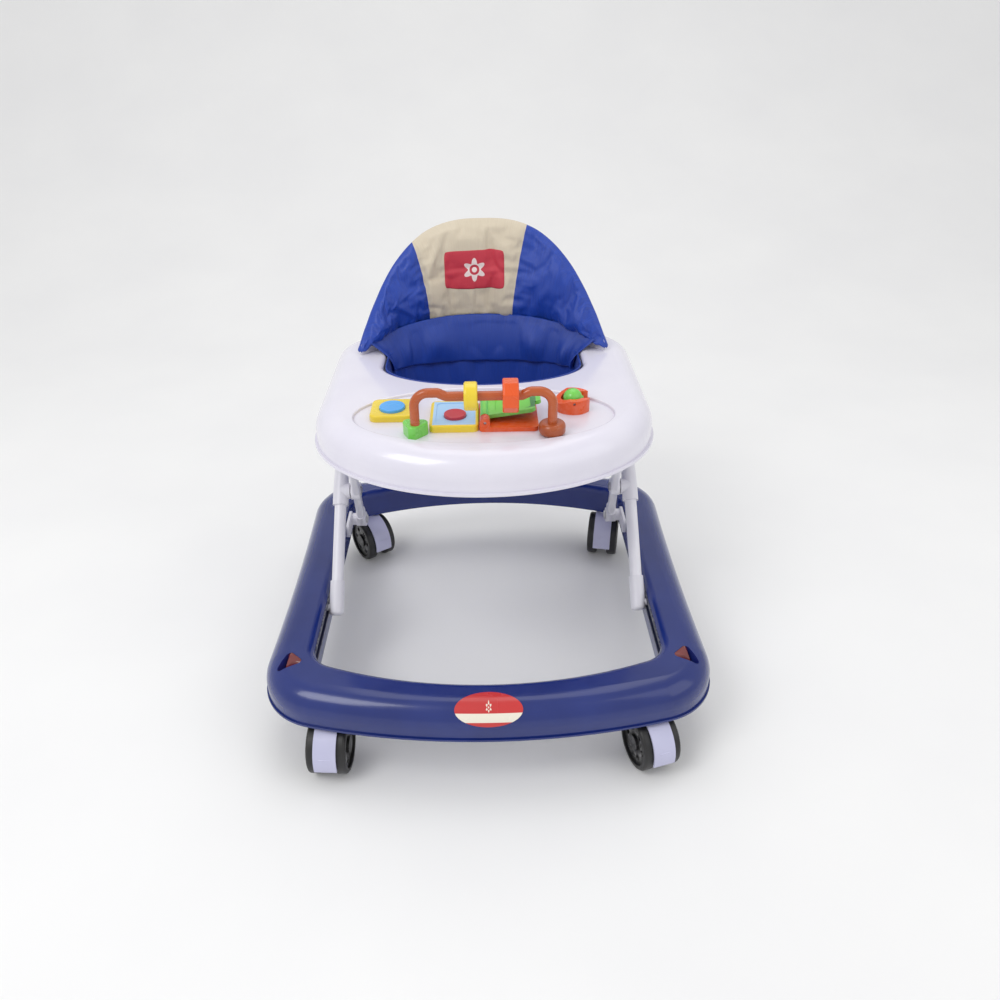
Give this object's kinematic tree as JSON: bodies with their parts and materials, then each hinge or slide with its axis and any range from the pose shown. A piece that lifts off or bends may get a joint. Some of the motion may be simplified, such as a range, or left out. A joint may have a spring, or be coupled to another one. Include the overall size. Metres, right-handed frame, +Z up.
{
  "type": "baby walker",
  "caption": "Baby walker with a ring base on swivel casters, a folding scissor frame, a toy tray and a padded seat with backrest.",
  "frame": {"origin": "centre of the footprint on the floor, where the caster wheels stand", "axes": "+Z up; the child faces -Y, the backrest is at +Y; +X is the child's left hand seen from behind, the viewer's right seen from the front"},
  "size_m": [0.5926, 0.6084, 0.575],
  "materials": {
    "base_blue": "high gloss, light orange peel",
    "white_shell": "gloss",
    "white_fittings": "satin gloss",
    "leg_coating": "white powder coat",
    "plain_steel": "drawn, zinc plated",
    "track_dark": "satin",
    "hood_pale": "satin",
    "wheel_black": "satin, scuffed tread",
    "reflector_red": "clear gloss over facets",
    "badge_print": "printed film",
    "cover_fabric": "satin weave, blue with a beige centre",
    "seat_fabric": "plain weave",
    "toy_terracotta": "gloss",
    "toy_green": "gloss",
    "toy_brown": "gloss",
    "toy_yellow": "gloss",
    "toy_orange": "gloss",
    "toy_blue": "gloss",
    "toy_pink": "gloss"
  },
  "bodies": {
    "base": {"base_shell": "base_blue", "slide_track_left": "track_dark", "slide_track_right": "track_dark", "slot_stops": "white_fittings", "reflector_left": "reflector_red", "reflector_right": "reflector_red", "front_badge": "badge_print", "leg_bracket_left": "white_fittings", "leg_bracket_right": "white_fittings", "lower_pivot_pins": "plain_steel"},
    "inner_legs": {"inner_leg_left": "leg_coating", "inner_leg_right": "leg_coating", "inner_leg_feet": "white_fittings", "inner_leg_heads": "white_fittings", "crossing_pins": "plain_steel"},
    "outer_legs": {"outer_leg_left": "leg_coating", "outer_leg_right": "leg_coating", "outer_leg_foot_left": "white_fittings", "outer_leg_foot_right": "white_fittings", "knuckle_left": "white_fittings", "knuckle_right": "white_fittings", "outer_leg_heads": "white_fittings"},
    "tray": {"tray_top": "white_shell", "tray_rail_left": "white_fittings", "tray_rail_right": "white_fittings", "upper_pivot_pins": "plain_steel", "backrest_shell": "white_shell", "headrest_cover": "cover_fabric", "seat_sling": "seat_fabric", "seat_back_panel": "seat_fabric", "bead_arch": "toy_terracotta", "arch_foot_green": "toy_green", "arch_foot_brown": "toy_brown", "button_block": "toy_yellow", "book_page": "toy_yellow", "book_base": "toy_orange", "toy_pins": "plain_steel", "roller_cradle": "toy_orange"},
    "yellow_bead": {"bead_yellow": "toy_yellow"},
    "orange_bead": {"bead_orange": "toy_orange"},
    "square_button": {"block_button": "toy_blue"},
    "round_button": {"page_button": "toy_pink"},
    "flap": {"flap_page": "toy_green"},
    "roller": {"roller_ball": "toy_green"},
    "front_left_swivel": {"front_left_caster_hood": "hood_pale", "front_left_caster_stem": "plain_steel"},
    "front_left_wheelset": {"front_left_caster_axle": "plain_steel", "front_left_caster_wheels": "wheel_black"},
    "front_right_swivel": {"front_right_caster_hood": "hood_pale", "front_right_caster_stem": "plain_steel"},
    "front_right_wheelset": {"front_right_caster_axle": "plain_steel", "front_right_caster_wheels": "wheel_black"},
    "rear_left_swivel": {"rear_left_caster_hood": "hood_pale", "rear_left_caster_stem": "plain_steel"},
    "rear_left_wheelset": {"rear_left_caster_axle": "plain_steel", "rear_left_caster_wheels": "wheel_black"},
    "rear_right_swivel": {"rear_right_caster_hood": "hood_pale", "rear_right_caster_stem": "plain_steel"},
    "rear_right_wheelset": {"rear_right_caster_axle": "plain_steel", "rear_right_caster_wheels": "wheel_black"}
  },
  "joints": [
    {"name": "front_left_swivel_turn", "type": "hinge", "parent": "base", "child": "front_left_swivel", "pos_m": [-0.205, -0.247, 0.08], "axis": [0, 0, 1], "continuous": true},
    {"name": "front_left_wheel_spin", "type": "hinge", "parent": "front_left_swivel", "child": "front_left_wheelset", "pos_m": [-0.20578, -0.26198, 0.0365], "axis": [0.9986, -0.0523, 0], "continuous": true},
    {"name": "front_right_swivel_turn", "type": "hinge", "parent": "base", "child": "front_right_swivel", "pos_m": [0.205, -0.247, 0.08], "axis": [0, 0, 1], "continuous": true},
    {"name": "front_right_wheel_spin", "type": "hinge", "parent": "front_right_swivel", "child": "front_right_wheelset", "pos_m": [0.20939, -0.26134, 0.0365], "axis": [0.9563, 0.2924, 0], "continuous": true},
    {"name": "rear_left_swivel_turn", "type": "hinge", "parent": "base", "child": "rear_left_swivel", "pos_m": [-0.213, 0.24, 0.08], "axis": [0, 0, 1], "continuous": true},
    {"name": "rear_left_wheel_spin", "type": "hinge", "parent": "rear_left_swivel", "child": "rear_left_wheelset", "pos_m": [-0.2044, 0.22771, 0.0365], "axis": [0.8192, 0.5736, 0], "continuous": true},
    {"name": "rear_right_swivel_turn", "type": "hinge", "parent": "base", "child": "rear_right_swivel", "pos_m": [0.213, 0.24, 0.08], "axis": [0, 0, 1], "continuous": true},
    {"name": "rear_right_wheel_spin", "type": "hinge", "parent": "rear_right_swivel", "child": "rear_right_wheelset", "pos_m": [0.20988, 0.22533, 0.0365], "axis": [0.9781, -0.2079, 0], "continuous": true},
    {"name": "fold", "type": "hinge", "parent": "base", "child": "inner_legs", "pos_m": [0, 0.17, 0.11], "axis": [1, 0, 0], "range_deg": [-4, 32]},
    {"name": "scissor_cross", "type": "hinge", "parent": "inner_legs", "child": "outer_legs", "pos_m": [0, 0.05, 0.235], "axis": [1, 0, 0], "range_deg": [-65, 9]},
    {"name": "tray_pivot", "type": "hinge", "parent": "inner_legs", "child": "tray", "pos_m": [0, -0.07, 0.36], "axis": [1, 0, 0], "range_deg": [-32.5, 4.5]},
    {"name": "yellow_bead_slide", "type": "slide", "parent": "tray", "child": "yellow_bead", "axis": [1, 0, 0], "range_m": [-0.016, 0.012]},
    {"name": "orange_bead_slide", "type": "slide", "parent": "tray", "child": "orange_bead", "axis": [1, 0, 0], "range_m": [-0.014, 0]},
    {"name": "square_button_press", "type": "slide", "parent": "tray", "child": "square_button", "axis": [0, 0, -1], "range_m": [0, 0.003], "stiffness_N_per_m": 400},
    {"name": "round_button_press", "type": "slide", "parent": "tray", "child": "round_button", "axis": [0, 0, -1], "range_m": [0, 0.003], "stiffness_N_per_m": 400},
    {"name": "flap_hinge", "type": "hinge", "parent": "tray", "child": "flap", "pos_m": [0.0015, -0.034, 0.404], "axis": [0, -1, 0], "range_deg": [-6, 165]},
    {"name": "roller_turn", "type": "hinge", "parent": "tray", "child": "roller", "pos_m": [0.119, -0.008, 0.407], "axis": [0, 1, 0], "continuous": true}
  ],
  "couplings": [
    {"joint": "scissor_cross", "follows": "fold", "ratio": -2},
    {"joint": "tray_pivot", "follows": "fold", "ratio": -1}
  ]
}
